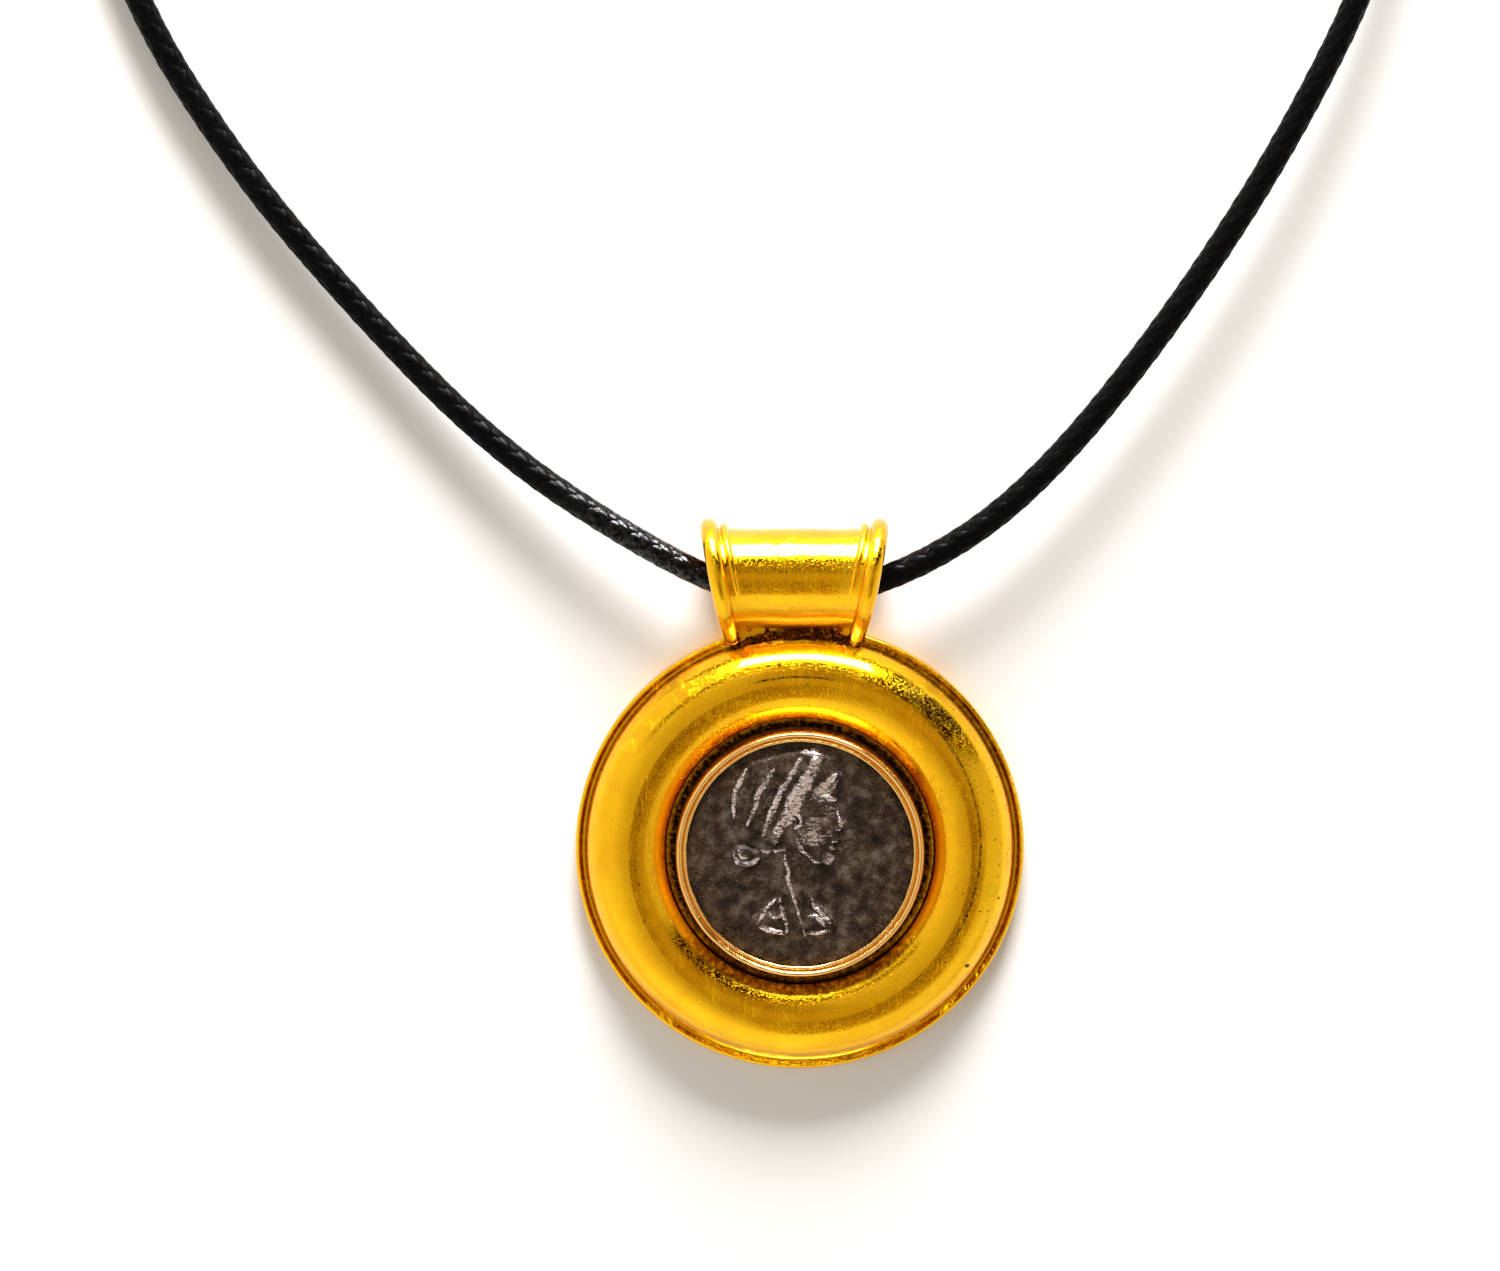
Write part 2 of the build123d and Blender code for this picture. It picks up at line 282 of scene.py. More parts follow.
def cord_line():
    """Points of the route's smooth curve, in millimetres."""
    curve = bpy.data.curves.new("cord_route", "CURVE")
    curve.dimensions = "3D"
    spline = curve.splines.new("NURBS")
    spline.points.add(len(CORD_ROUTE) - 1)
    for point, place in zip(spline.points, CORD_ROUTE):
        point.co = (*(v * MM for v in place), 1.0)
    spline.order_u = 3
    spline.use_endpoint_u = True
    spline.resolution_u = 24
    holder = new_object("cord_route", curve)
    bpy.context.view_layer.update()
    line = bpy.data.meshes.new_from_object(holder)
    points = np.array([tuple(v.co) for v in line.vertices]) / MM
    bpy.data.objects.remove(holder)
    bpy.data.meshes.remove(line)
    return points


def even_steps(points, step):
    """The same line with points a fixed distance apart: places, line, and two cross directions."""
    lengths = np.r_[0, np.cumsum(np.linalg.norm(np.diff(points, axis=0), axis=1))]
    at = np.linspace(0, lengths[-1], int(round(lengths[-1] / step)) + 1)
    line = np.stack([np.interp(at, lengths, points[:, i]) for i in range(3)], axis=1)
    tangents = np.gradient(line, axis=0)
    tangents /= np.linalg.norm(tangents, axis=1)[:, None]
    side = np.zeros_like(line)
    current = np.cross(tangents[0], (0.0, 0.0, 1.0))
    for i, tangent in enumerate(tangents):
        current = current - tangent * current.dot(tangent)
        current /= np.linalg.norm(current)
        side[i] = current
    return at, line, side, np.cross(tangents, side)


def braided_cord():
    """Flat strands that pass over and under each other round a core."""
    points = cord_line()
    at, line, side, up = even_steps(points, STRAND_STEP)
    radius = CORD_DIAMETER / 2
    rows = len(at)
    half_width = math.pi / STRANDS
    turn = 2 * math.pi * at / (CELL_LENGTH * STRANDS)
    rng = np.random.default_rng(7)
    tight_places = len(np.arange(0, at[-1] + 3, TIGHT_STEP))
    tight_place = (at / TIGHT_STEP).astype(int)

    def on_cord(place, reach, angle):
        place = np.clip(place, 0, at[-1])
        spot, s_dir, u_dir = (np.stack([np.interp(place, at, v[:, i]) for i in range(3)], axis=1)
                              for v in (line, side, up))
        return spot + reach[:, None] * (np.cos(angle)[:, None] * s_dir + np.sin(angle)[:, None] * u_dir)

    verts, faces, joint_and_strand_shade = [], [], []
    for direction in (1, -1):
        for strand in range(STRANDS):
            wave = direction * np.cos(2 * math.pi * at / CELL_LENGTH)
            tightness = TIGHT_DEPTH * rng.random(tight_places)[tight_place]
            lift = radius - STRAND_WAVE + STRAND_WAVE * wave - tightness
            lift = np.minimum(np.convolve(np.pad(lift, 2, mode="edge"), np.ones(5) / 5, "valid"), radius)
            centre = direction * turn + 2 * math.pi * strand / STRANDS
            width = half_width * (0.86 + 0.1 * wave)
            start = len(verts) * rows
            for u, drop in STRAND_SECTION:
                angle = centre + direction * u * width * 0.8
                verts.append(on_cord(at - u * width * 0.45, lift + drop, angle))
                # Dark joints at the strands' edges; the strands that wind one way are painted darker all
                # across, as shade
                joint_and_strand_shade += [1.0 if abs(u) == 1 else 0.15 - 0.15 * direction] * rows
            faces += grid_faces(len(STRAND_SECTION), rows, start=start, flip=direction > 0)
    core_rows = np.r_[np.arange(0, rows - 1, CORE_STEP), rows - 1]
    ring = np.linspace(0, 2 * math.pi, CORE_SIDES, endpoint=False)
    start = len(verts) * rows
    core = [line[r] + CORE_RADIUS * (np.cos(ring)[:, None] * side[r] + np.sin(ring)[:, None] * up[r])
            for r in core_rows]
    faces += grid_faces(len(core_rows), len(ring), wrap=True, start=start)
    last = start + (len(core_rows) - 1) * len(ring)
    faces.append(tuple(range(start + len(ring) - 1, start - 1, -1)))
    faces.append(tuple(range(last, last + len(ring))))
    obj = mesh_object("braided_cord", np.concatenate(verts + core), faces)
    joint_and_strand_shade += [1.0] * (len(core) * len(ring))
    attribute = obj.data.attributes.new("joint_and_strand_shade", "FLOAT", "POINT")
    attribute.data.foreach_set("value", np.array(joint_and_strand_shade, np.float32))
    return obj, points


cord, cord_points = braided_cord()
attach(cord, "root")
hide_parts("neck_cord")

# coin

COIN_RADIUS = 9.5
COIN_BASE = 2.25
COIN_TOP = 4.15
COIN_BEVEL = 0.15
EDGE_DROP = 0.25       # where the rounded upper edge ends, below the field
FLAT_EDGE = (8.7, 0.7)  # where the relief starts to fade out, and over what width
RELIEF_LIMIT = 0.62
HEAD_HEIGHT = 9.4
HEAD_X, HEAD_Y = -0.8, -1.0
COIN_CELLS = 250
FIELD_STEP = 0.05
NOISE_CELLS = 64
NOISE_SHIFT = 31.5

# Shares of the head's height: forward of the ear line, above the chin
FACE = [
    (0.30, 0.92), (0.375, 0.84), (0.415, 0.72), (0.424, 0.60), (0.397, 0.52), (0.452, 0.42), (0.500, 0.335),
    (0.428, 0.286), (0.440, 0.225), (0.408, 0.190), (0.428, 0.150), (0.385, 0.105), (0.396, 0.050),
    (0.330, 0.000), (0.210, 0.030), (0.120, 0.100), (-0.05, 0.22), (-0.12, 0.50), (0.02, 0.80),
]
# Millimetres from the coin's centre
NECK = [
    (-1.3, 1.0), (0.4, 0.6), (1.6, -0.6), (1.05, -2.0), (1.25, -3.6), (2.3, -4.9), (3.1, -6.2), (1.4, -6.95),
    (-0.8, -7.05), (-2.8, -6.8), (-4.3, -5.9), (-3.2, -4.6), (-2.0, -3.3), (-1.55, -2.0), (-1.7, -0.4),
]
HAIR = [
    (3.3, 6.6), (2.6, 7.75), (1.5, 8.45), (0.2, 8.6), (-1.6, 8.2), (-3.5, 7.7), (-4.9, 6.7), (-5.75, 5.0),
    (-5.9, 3.0), (-5.2, 1.5), (-3.6, 0.55), (-1.9, 0.25), (-0.9, 1.1), (-0.15, 2.4), (0.45, 3.9), (1.4, 4.9),
    (2.7, 5.8),
]
# Combed strands over the hair: points in millimetres, half width and height
STRANDS_OF_HAIR = [
    ([(-4.4, 6.9), (-5.2, 5.1), (-5.5, 3.0)], 0.22, 0.12),
    ([(-2.2, 7.0), (-3.4, 4.8), (-4.3, 2.2)], 0.25, 0.17),
    ([(-0.1, 7.8), (-1.7, 4.9), (-3.05, 1.6)], 0.30, 0.18),
    ([(1.7, 8.2), (0.3, 5.7), (-0.9, 3.4), (-2.15, 1.1)], 0.66, 0.22),
    ([(3.3, 6.6), (2.1, 5.8), (0.85, 4.6)], 0.42, 0.20),
    ([(3.1, 5.9), (2.3, 5.2), (1.6, 4.8)], 0.26, 0.15),
    ([(0.1, 8.35), (0.9, 8.4), (1.75, 8.35)], 0.34, 0.08),
]
# Folds of the dress and the line of the neck, in the same way
FOLDS = [
    ([(-2.1, -3.7), (-2.9, -4.7), (-3.7, -5.9)], 0.18, 0.18),
    ([(-1.7, -3.55), (-1.35, -5.0), (-1.05, -6.5)], 0.19, 0.17),
    ([(-2.6, -4.9), (-2.0, -5.3), (-1.3, -5.2)], 0.14, 0.12),
    ([(-3.5, -6.0), (-2.4, -6.35), (-1.2, -6.6)], 0.22, 0.16),
    ([(-1.2, -0.1), (-0.98, -1.8), (-0.35, -4.2), (0.4, -6.7)], 0.18, 0.18),
    ([(0.9, -3.6), (1.5, -4.7), (2.5, -5.8)], 0.17, 0.13),
    ([(0.6, -5.1), (1.5, -5.3), (2.3, -6.2)], 0.17, 0.13),
    ([(0.6, -6.5), (1.8, -6.5), (2.9, -6.35)], 0.18, 0.14),
]
# Ear with its ring, as shares of the head's height
EAR = [(0.05, 0.455), (0.085, 0.42), (0.08, 0.36), (0.045, 0.335)]
EAR_RING = (0.045, 0.345)
# Knot of hair at the nape, and the locks on it
KNOT = ((-4.45, -0.15), (1.25, 0.85), -25)
KNOT_LOCKS = [
    ([(-5.5, 0.25), (-5.1, -0.75), (-4.0, -0.85), (-3.35, -0.2)], 0.26, 0.12),
    ([(-5.1, 0.35), (-4.8, -0.3), (-4.1, -0.35)], 0.16, 0.09),
    ([(-3.5, 0.4), (-2.4, 0.15), (-1.3, 0.35)], 0.2, 0.12),
]
# Features of the face: kind, its points as shares, its width or half sizes, its rise and its wear
FEATURES = [
    ("mound", [(0.22, 0.30)], (1.6, 1.35), 0.2, 0.42),
    ("mound", [(0.34, 0.06)], (0.66, 0.6), 0.12, 0.6),
    ("ridge", [(0.20, 0.575), (0.30, 0.605), (0.40, 0.585)], 0.34, 0.12, 0.8),
    ("mound", [(0.33, 0.515)], (0.8, 0.52), -0.14, 0.0),
    ("mound", [(0.325, 0.50)], (0.38, 0.26), 0.14, 0.3),
    ("ridge", [(0.26, 0.505), (0.325, 0.538), (0.385, 0.50)], 0.12, 0.09, 0.7),
    ("ridge", [(0.275, 0.485), (0.33, 0.462), (0.38, 0.485)], 0.10, 0.07, 0.4),
    ("ridge", [(0.41, 0.55), (0.435, 0.43), (0.455, 0.345)], 0.3, 0.12, 0.9),
    ("mound", [(0.42, 0.325)], (0.32, 0.27), 0.09, 0.3),
    ("ridge", [(0.345, 0.205), (0.385, 0.222), (0.425, 0.212)], 0.19, 0.09, 0.6),
    ("ridge", [(0.35, 0.168), (0.385, 0.152), (0.415, 0.163)], 0.19, 0.09, 0.6),
    ("ridge", [(0.335, 0.188), (0.38, 0.190), (0.42, 0.188)], 0.08, -0.08, 0.0),
    ("ridge", [(0.04, 0.27), (0.11, 0.12), (0.22, 0.035), (0.32, 0.02)], 0.36, 0.09, 0.5),
]


def shares(points):
    """Millimetre places of points given as shares of the head's height."""
    return [(HEAD_X + x * HEAD_HEIGHT, HEAD_Y + y * HEAD_HEIGHT) for x, y in points]


def line_distance(path, x, y):
    """Distance to a line of points, and how far along it the nearest place is, from 0 to 1."""
    best = np.full(x.shape, 1e9)
    along = np.zeros(x.shape)
    count = len(path) - 1
    for i in range(count):
        (ax, ay), (bx, by) = path[i], path[i + 1]
        dx, dy = bx - ax, by - ay
        t = np.clip(((x - ax) * dx + (y - ay) * dy) / (dx * dx + dy * dy), 0, 1)
        d = np.hypot(x - ax - t * dx, y - ay - t * dy)
        near = d < best
        best[near] = d[near]
        along[near] = ((i + t) / count)[near]
    return best, along


def depth_inside(outline, x, y):
    """How far inside a closed outline a place lies, 0 outside it."""
    path = smooth_curve(outline, True)
    inside = np.zeros(x.shape, bool)
    for (ax, ay), (bx, by) in zip(path, np.roll(path, -1, axis=0)):
        if ay != by:
            crossing = (ay > y) != (by > y)
            inside ^= crossing & (x < (bx - ax) * (y - ay) / (by - ay) + ax)
    distance, _ = line_distance(np.vstack([path, path[:1]]), x, y)
    return np.where(inside, distance, 0.0)


def rounded(depth, edge):
    """Rises from 0 at the outline to 1 at a depth of edge, with a round shoulder."""
    t = np.clip(depth / edge, 0, 1)
    return np.sqrt(1 - (1 - t) ** 2)


def ridge(points, half_width, x, y):
    """Round ridge along a line, thinner towards its ends."""
    distance, along = line_distance(smooth_curve(points, False), x, y)
    taper = np.sqrt(np.clip(np.sin(np.pi * np.clip(along, 0.03, 0.97)), 0, 1))
    t = np.clip(distance / (half_width * (0.45 + 0.55 * taper)), 0, 1)
    return (1 - t * t) ** 1.2 * (0.4 + 0.6 * taper)


def mound(centre, size, turn, x, y):
    """Rounded bump over an ellipse."""
    c, s = math.cos(math.radians(turn)), math.sin(math.radians(turn))
    dx, dy = x - centre[0], y - centre[1]
    q = ((dx * c + dy * s) / size[0]) ** 2 + ((dy * c - dx * s) / size[1]) ** 2
    return np.sqrt(np.clip(1 - q, 0, 1))


def blur(field, cells):
    """Gaussian blur of a grid, over that many cells."""
    reach = 3 * cells
    kernel = np.exp(-0.5 * (np.arange(-reach, reach + 1) / cells) ** 2)
    kernel /= kernel.sum()

    def smooth(row):
        return np.convolve(np.pad(row, reach, "edge"), kernel, "valid")

    for axis in (0, 1):
        field = np.apply_along_axis(smooth, axis, field)
    return field


def between_points(look, i, j, u, v):
    """Value inside a grid's cell, from the four corners that look gives."""
    return ((look(i, j) * (1 - u) + look(i + 1, j) * u) * (1 - v)
            + (look(i, j + 1) * (1 - u) + look(i + 1, j + 1) * u) * v)


def value_noise(x, y, size, seed):
    """Smooth random field from -1 to 1 with bumps of about that size."""
    grid = np.random.default_rng(seed).uniform(-1, 1, (NOISE_CELLS, NOISE_CELLS))
    u, v = x / size + NOISE_SHIFT, y / size + NOISE_SHIFT
    i, j = np.floor(u).astype(int), np.floor(v).astype(int)
    u, v = u - i, v - j

    def look(a, b):
        return grid[a % NOISE_CELLS, b % NOISE_CELLS]

    return between_points(look, i, j, u * u * (3 - 2 * u), v * v * (3 - 2 * v))


def coin_relief(x, y):
    """Height of the struck side above the field in millimetres, and how worn bright it is."""
    wear = np.zeros(x.shape)
    neck = 0.3 * rounded(depth_inside(NECK, x, y), 0.9)
    height = neck.copy()
    for points, width, rise in FOLDS:
        fold = ridge(points, width, x, y)
        worn_fold = ridge(points, 1.35 * width, x, y)
        height = np.maximum(height, np.where(neck > 0, neck, 0.08) * np.minimum(1, 4 * fold) + rise * fold)
        wear = np.maximum(wear, 0.8 * worn_fold)

    face_depth = depth_inside(shares(FACE), x, y)
    face = 0.2 * rounded(face_depth, 0.4) + 0.3 * rounded(face_depth, 2.8)
    for kind, points, size, rise, bright in FEATURES:
        places = shares(points)
        shape = ridge(places, size, x, y) if kind == "ridge" else mound(places[0], size, 0, x, y)
        face += rise * shape
        wear = np.where(face_depth > 0, np.maximum(wear, bright * shape), wear)
    height = np.where(face_depth > 0, np.maximum(face, height), height)

    hair_depth = depth_inside(HAIR, x, y)
    hair = 0.08 * rounded(hair_depth, 0.9) + 0.32 * rounded(hair_depth, 2.6)
    rng = np.random.default_rng(3)
    combs = [points for points, _, _ in STRANDS_OF_HAIR[:3]]
    headband = STRANDS_OF_HAIR[3][0]
    combs.append([headband[i] for i in (0, 1, 3)])
    for left, right in zip(combs, combs[1:]):
        for share in (0.2, 0.4, 0.6, 0.8):
            share += rng.uniform(-0.05, 0.05)
            comb = [tuple((1 - share) * np.array(a) + share * np.array(b)) for a, b in zip(left, right)]
            hair += 0.05 * ridge(comb, 0.13, x, y)
    for points, width, rise in STRANDS_OF_HAIR:
        hair += rise * ridge(points, width, x, y)
        wear = np.maximum(wear, ridge(points, 1.3 * width, x, y))
    for step in (0.0, 0.5, 1.0):
        wave = [(3.15 - 0.5 * step, 6.1 - 0.55 * step), (1.9 - 0.5 * step, 5.2 - 0.6 * step),
                (0.9 - 0.45 * step, 3.9 - 0.6 * step), (0.1 - 0.4 * step, 2.4 - 0.5 * step)]
        hair += 0.07 * ridge(wave, 0.18, x, y)
    height = np.where(hair_depth > 0, np.maximum(hair, height), height)

    ear = ridge(shares(EAR), 0.17, x, y)
    height += 0.18 * ear
    wear = np.maximum(wear, ear)
    height = np.maximum(height, 0.42 * mound(*KNOT, x, y))
    for points, width, rise in KNOT_LOCKS:
        lock = ridge(points, width, x, y)
        height += rise * lock
        wear = np.maximum(wear, lock)
    height += 0.1 * mound(shares([EAR_RING])[0], (0.24, 0.24), 0, x, y)
    return height, wear


def struck_field():
    """The coin's whole face on a fine square grid: height, and how worn bright each place is."""
    reach = np.arange(-COIN_RADIUS - 0.2, COIN_RADIUS + 0.2, FIELD_STEP)
    x, y = np.meshgrid(reach, reach, indexing="ij")
    bend_x = 0.12 * value_noise(x, y, 0.9, 11) + 0.06 * value_noise(x, y, 0.35, 13)
    bend_y = 0.12 * value_noise(x, y, 0.9, 12) + 0.06 * value_noise(x, y, 0.35, 14)
    height, wear = coin_relief(x + bend_x, y + bend_y)
    height = blur(height, 1)
    low = 0.03 * value_noise(x, y, 3.1, 1) + 0.02 * value_noise(x, y, 1.2, 2)
    fine = 0.012 * value_noise(x, y, 0.45, 3) + 0.008 * value_noise(x, y, 0.22, 4)
    pits = np.clip(value_noise(x, y, 0.33, 5) - 0.5, 0, 1) * 0.08
    flattened = 1 - 0.2 * np.clip(value_noise(x, y, 2.2, 6), 0, 1)
    height = np.minimum(height * flattened, RELIEF_LIMIT) + low + fine - pits
    edge = np.clip((np.hypot(x, y) - FLAT_EDGE[0]) / FLAT_EDGE[1], 0, 1)
    height = height * (1 - edge) - 0.04 * edge
    proud = np.clip((height - blur(height, 8)) / 0.12, 0, 1)
    patchy = np.clip(0.85 + 0.45 * value_noise(x, y, 0.8, 15) + 0.3 * value_noise(x, y, 0.3, 16), 0, 1.2)
    return reach, height, np.clip(0.9 * wear * patchy + 0.08 * proud, 0, 1) * (1 - edge)


def round_grid():
    """Places of a square grid bent to fill a circle of radius 1."""
    side = np.linspace(-1, 1, COIN_CELLS + 1)
    a, b = np.meshgrid(side, side, indexing="ij")
    ring = np.maximum(np.abs(a), np.abs(b))
    ratio = np.where(np.abs(a) > np.abs(b), b, a) / np.where(ring == 0, 1, ring) * math.pi / 4
    x = np.where(np.abs(a) > np.abs(b), np.sign(a) * np.cos(ratio), np.sin(ratio)) * ring
    y = np.where(np.abs(a) > np.abs(b), np.sin(ratio), np.sign(b) * np.cos(ratio)) * ring
    return x, y


def coin_mesh():
    """The struck coin: its relief on a round grid, and a plain edge and back."""
    reach, field, wear = struck_field()

    def sample(grid, x, y):
        u, v = (x - reach[0]) / FIELD_STEP, (y - reach[0]) / FIELD_STEP
        i, j = u.astype(int), v.astype(int)
        return between_points(lambda a, b: grid[a, b], i, j, u - i, v - j)

    x, y = round_grid()
    scale = COIN_RADIUS - COIN_BEVEL
    x, y = (x * scale).ravel(), (y * scale).ravel()
    top = np.stack([x, y, COIN_TOP + sample(field, x, y)], axis=1)
    n = COIN_CELLS + 1
    faces = grid_faces(n, n, flip=True)
    border = ([i * n for i in range(n)] + [(n - 1) * n + j for j in range(1, n)]
              + [i * n + n - 1 for i in range(n - 2, -1, -1)] + [j for j in range(n - 2, 0, -1)])
    verts = [top]
    start = len(top)
    previous = border
    angles = np.arctan2(top[border, 1], top[border, 0])
    for radius, z in ((COIN_RADIUS - 0.03, COIN_TOP - 0.09), (COIN_RADIUS, COIN_TOP - EDGE_DROP),
                      (COIN_RADIUS, COIN_BASE + COIN_BEVEL), (COIN_RADIUS - COIN_BEVEL, COIN_BASE),
                      (0.02, COIN_BASE)):
        level = np.full(len(angles), z)
        verts.append(np.stack([radius * np.cos(angles), radius * np.sin(angles), level], axis=1))
        current = list(range(start, start + len(angles)))
        for k in range(len(angles)):
            m = (k + 1) % len(angles)
            faces.append((previous[k], current[k], current[m], previous[m]))
        previous = current
        start += len(angles)
    faces.append(tuple(reversed(previous)))
    obj = mesh_object("struck_coin", np.concatenate(verts), faces)
    worn = np.zeros(start)
    worn[: len(top)] = sample(wear, x, y)
    attribute = obj.data.attributes.new("worn", "FLOAT", "POINT")
    attribute.data.foreach_set("value", worn.astype(np.float32))
    return obj


coin = coin_mesh()
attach(coin, "root")
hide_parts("coin")

# collar round the coin

BEZEL_RADIUS = 10.2
BEZEL_BASE = 1.25
BEZEL_TOP = 4.9
BEZEL_SEGMENTS = 720
BEZEL_GROOVE = 9.63    # the inner lip is inside this radius
BEZEL_LIMIT = 9.22     # the unevenness never goes further in
LIP_START = 4.2
LIP_RISE = 0.5
# Section from the inner foot, over the inner lip, the fine groove and the outer lip, down to the outer foot
BEZEL_SECTION = [
    (9.60, BEZEL_BASE), (9.60, 2.60), (9.60, 4.10), (9.58, 4.29), (9.44, 4.30), (9.29, 4.31), (9.265, 4.40),
    (9.26, 4.52), (9.28, 4.61), (9.33, 4.68), (9.40, 4.71), (9.47, 4.695), (9.52, 4.64), (9.55, 4.60),
    (9.575, 4.53), (9.59, 4.52), (9.605, 4.53), (9.63, 4.62), (9.66, 4.70), (9.72, 4.81), (9.81, 4.88),
    (9.91, 4.90), (10.01, 4.85), (10.08, 4.75), (10.13, 4.60), (10.16, 4.40), (10.18, 4.1), (10.19, 3.6),
    (10.195, 2.8), (10.197, 1.9), (10.195, BEZEL_BASE),
]


def ring_noise(angles, waves, seed):
    """Closed random wave round a ring, from about -1 to 1, with up to that many bumps."""
    rng = np.random.default_rng(seed)
    total = np.zeros(len(angles))
    for k in range(1, waves + 1):
        total += rng.normal() * np.cos(k * angles + rng.uniform(0, 2 * math.pi)) / math.sqrt(waves)
    return total


def bezel_mesh():
    """The collar's section turned round, slightly uneven at its lips."""
    angles = np.linspace(0, 2 * math.pi, BEZEL_SEGMENTS, endpoint=False)
    slow = ring_noise(angles, 7, 21)
    lip = ring_noise(angles, 26, 22)
    nick = ring_noise(angles, 110, 23)
    rows = []
    for r, z in BEZEL_SECTION:
        high = np.clip((z - LIP_START) / LIP_RISE, 0, 1)
        inner = 1.0 if r < BEZEL_GROOVE else 0.0
        radius = r + high * (0.012 * slow + inner * (0.012 * lip + 0.008 * nick) + (1 - inner) * 0.006 * lip)
        level = z + high * (0.015 * slow + 0.012 * lip + inner * 0.01 * nick) - high * 0.03
        radius = np.clip(radius, BEZEL_LIMIT, BEZEL_RADIUS)
        level = np.minimum(level, BEZEL_TOP)
        rows.append(np.stack([radius * np.cos(angles), radius * np.sin(angles), level], axis=1))
    verts = np.concatenate(rows)
    count = len(BEZEL_SECTION)
    faces = grid_faces(count, BEZEL_SEGMENTS, wrap=True, flip=True)
    for k in range(BEZEL_SEGMENTS):
        n = (k + 1) % BEZEL_SEGMENTS
        last = (count - 1) * BEZEL_SEGMENTS
        faces.append((last + k, last + n, n, k))
    return mesh_object("rubbed_collar", verts, faces)


bezel = bezel_mesh()
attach(bezel, "root")
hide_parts("coin_bezel")

# solder crust

CRUST_X = (-6.4, 5.4)
CRUST_Y = (15.9, 19.4)
CRUST_STEP = 0.05
CRUST_SUNK = 0.04      # how far its edge lies below the frame's surface
CRUST_RAY_START = 20.0


def solder_crust():
    """Lumpy solder that lies over the frame in the corner below the bail."""
    target = nodes["medallion_frame"]
    inverse = target.matrix_world.inverted()
    xs = np.arange(*CRUST_X, CRUST_STEP)
    ys = np.arange(*CRUST_Y, CRUST_STEP)
    x, y = np.meshgrid(xs, ys, indexing="ij")
    down = inverse.to_3x3() @ Vector((0, 0, -1))
    ground = np.full(x.shape, -1.0)
    for index in np.ndindex(x.shape):
        start = inverse @ Vector((x[index] * MM, y[index] * MM, CRUST_RAY_START * MM))
        hit, spot, _, _ = target.ray_cast(start, down)
        if hit:
            ground[index] = (target.matrix_world @ spot).z / MM
    radial = np.hypot(x, y)
    across = np.abs(x - BAIL_X)
    ragged = 0.35 * value_noise(x, y, 0.8, 31) + 0.2 * value_noise(x, y, 0.35, 32)
    arch = radial + ARCH_BEND * (x - BAIL_X) ** 2
    cover = np.clip((radial - 17.25 + 0.3 * ragged) / 0.25, 0, 1)
    cover *= np.clip((18.4 - arch + ragged) / 0.3, 0, 1)
    cover *= np.clip((5.5 - across + ragged) / 0.5, 0, 1)
    cover *= np.clip((2.15 - ground + 0.3 * ragged) / 0.2, 0, 1)
    lumps = 0.5 + 0.5 * value_noise(x, y, 0.5, 33) + 0.3 * value_noise(x, y, 0.17, 34)
    level = ground + cover * (0.06 + 0.3 * np.clip(lumps, 0, 1.3)) - CRUST_SUNK
    keep = (cover > 0) & (ground > 0.5)
    faces = []
    for i in range(len(xs) - 1):
        for j in range(len(ys) - 1):
            corner = keep[i:i + 2, j:j + 2]
            heights = ground[i:i + 2, j:j + 2]
            if corner.any() and heights.max() - heights.min() < 0.6:
                n = i * len(ys) + j
                faces.append((n, n + len(ys), n + len(ys) + 1, n + 1))
    used = np.unique(np.array(faces))
    order = np.full(x.size, -1)
    order[used] = np.arange(len(used))
    verts = np.stack([x.ravel(), y.ravel(), level.ravel()], axis=1)[used]
    return mesh_object("solder_crust", verts, order[np.array(faces)].tolist())


crust = solder_crust()
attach(crust, "root")

# materials

GOLD = (0.98, 0.515, 0.004)
DEEP_GOLD = (0.88, 0.375, 0.002)
ORANGE = (0.80, 0.46, 0.008)
BROWN = (0.28, 0.145, 0.01)
# Near-black of heavy tarnish, also the colour of painted shade and painted dark reflections
BLACK_TARNISH_AND_SHADE = (0.020, 0.009, 0.0015)
PIT_BROWN = (0.09, 0.03, 0.006)
COLLAR_GOLD = (0.94, 0.56, 0.19)
DEEP_COLLAR_GOLD = (0.85, 0.45, 0.12)
WORN_SILVER = (0.84, 0.70, 0.66)
COIN_DIRT = (0.13, 0.085, 0.035)
JOINT_AND_SHADE_BLACK = (0.0005, 0.0005, 0.0005)

# Hairline scratches: turn in radians, length's share of the noise, and the noise's place
SCRATCHES = [(0.7, 0.045, 3.0), (-0.5, 0.06, 11.0), (1.9, 0.05, 23.0)]

# Dark spots on the ring: place, radius and depth of the stain
STAINS = [
    (16.25, -3.84, 0.22, 0.7), (15.8, -3.1, 1.3, 0.24), (16.18, -1.99, 0.2, 0.6),
    (15.35, -4.84, 0.16, 0.6), (13.72, -9.47, 0.3, 1.0), (11.9, -8.97, 0.16, 0.7),
    (-12.72, -5.6, 0.16, 0.8), (-13.15, -2.56, 0.17, 0.8), (-13.53, -1.33, 0.14, 0.8),
    (-4.59, 10.98, 0.18, 0.7), (0.56, 13.99, 0.15, 0.7), (14.5, 3.9, 0.14, 0.7),
]

# Painted dark reflections, as streaks along the ring: from and to in degrees from the bail, radius at each
# end, half width and depth
DARK_REFLECTION_STREAKS = [
    (-19, 15, 14.57, 14.57, 0.15, 1.0),
    (36, 124, 15.25, 14.4, 0.19, 0.8),
    (-10, 26, 15.73, 15.35, 0.14, 0.6),
]
STREAK_FADE = 8


